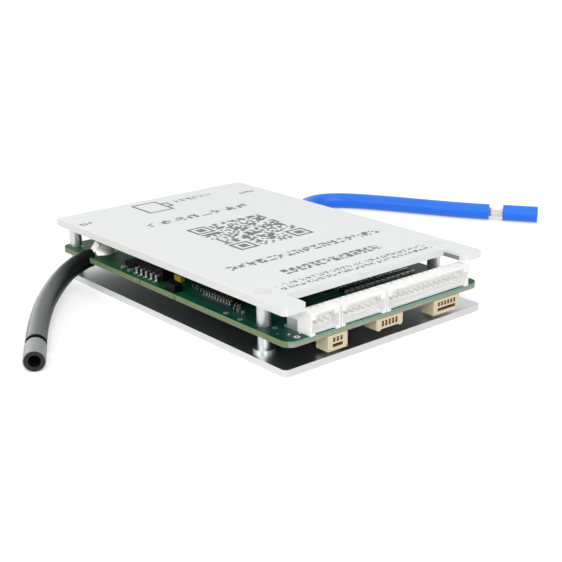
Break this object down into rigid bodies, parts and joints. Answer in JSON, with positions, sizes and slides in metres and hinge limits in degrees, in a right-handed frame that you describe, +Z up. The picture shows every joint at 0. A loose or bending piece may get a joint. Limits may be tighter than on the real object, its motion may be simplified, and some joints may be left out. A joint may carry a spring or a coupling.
{
  "type": "battery management board",
  "caption": "Battery management board between aluminium plates on studs, with side-entry headers, small ports and free power leads.",
  "frame": {"origin": "centre of the lower plate on its outer face", "axes": "+X along the plates towards the connector end, +Y across the board towards the blue lead, +Z up towards the coated plate"},
  "size_m": [0.1186, 0.2097, 0.018],
  "materials": {
    "coated_plate": "satin white coating",
    "anodised_plate": "satin",
    "green_board": "gloss solder mask over glass-fibre laminate",
    "plated_studs": "bright nickel plating",
    "screw_steel": "satin",
    "white_nylon": "satin",
    "cream_nylon": "satin",
    "tinned_metal": "bright tin",
    "gold_contacts": "bright",
    "black_silicone": "satin",
    "blue_silicone": "satin",
    "tinned_copper": "satin tinned strands",
    "solder": "bright solder",
    "black_epoxy": "matte",
    "silicone_pad": "matte",
    "shunt_metal": "satin",
    "ferrite": "matte",
    "yellow_epoxy": "matte",
    "tan_ceramic": "matte"
  },
  "bodies": {
    "root": {"bottom_plate": "anodised_plate", "circuit_board": "green_board", "top_plate": "coated_plate", "lower_studs": "plated_studs", "upper_studs": "plated_studs", "tie_screws": "screw_steel", "small_header": "white_nylon", "medium_header": "white_nylon", "wide_header": "white_nylon", "small_header_pins": "tinned_metal", "medium_header_pins": "tinned_metal", "wide_header_pins": "tinned_metal", "header_tabs": "tinned_metal", "left_port": "cream_nylon", "middle_port": "cream_nylon", "right_port": "cream_nylon", "left_port_contacts": "gold_contacts", "middle_port_contacts": "gold_contacts", "right_port_contacts": "gold_contacts", "black_lead": "black_silicone", "black_lead_strands": "tinned_copper", "black_lead_sleeve": "black_silicone", "black_lead_tail": "tinned_copper", "black_lead_solder": "solder", "blue_lead": "blue_silicone", "blue_lead_strands": "tinned_copper", "blue_lead_sleeve": "blue_silicone", "blue_lead_tail": "tinned_copper", "blue_lead_solder": "solder", "power_transistors": "black_epoxy", "transistor_leads": "tinned_metal", "thermal_pads": "silicone_pad", "shunt_resistors": "shunt_metal", "isolator": "black_epoxy", "isolator_leads": "tinned_metal", "driver_chip": "black_epoxy", "driver_chip_leads": "tinned_metal", "controller_chip": "black_epoxy", "controller_chip_leads": "tinned_metal", "monitor_chip": "black_epoxy", "voltage_regulator": "black_epoxy", "voltage_regulator_leads": "tinned_metal", "power_inductor": "ferrite", "tantalum_capacitors": "yellow_epoxy", "edge_resistors": "black_epoxy", "balance_resistors": "black_epoxy", "filter_capacitors": "tan_ceramic", "surge_diodes": "black_epoxy"}
  },
  "joints": []
}
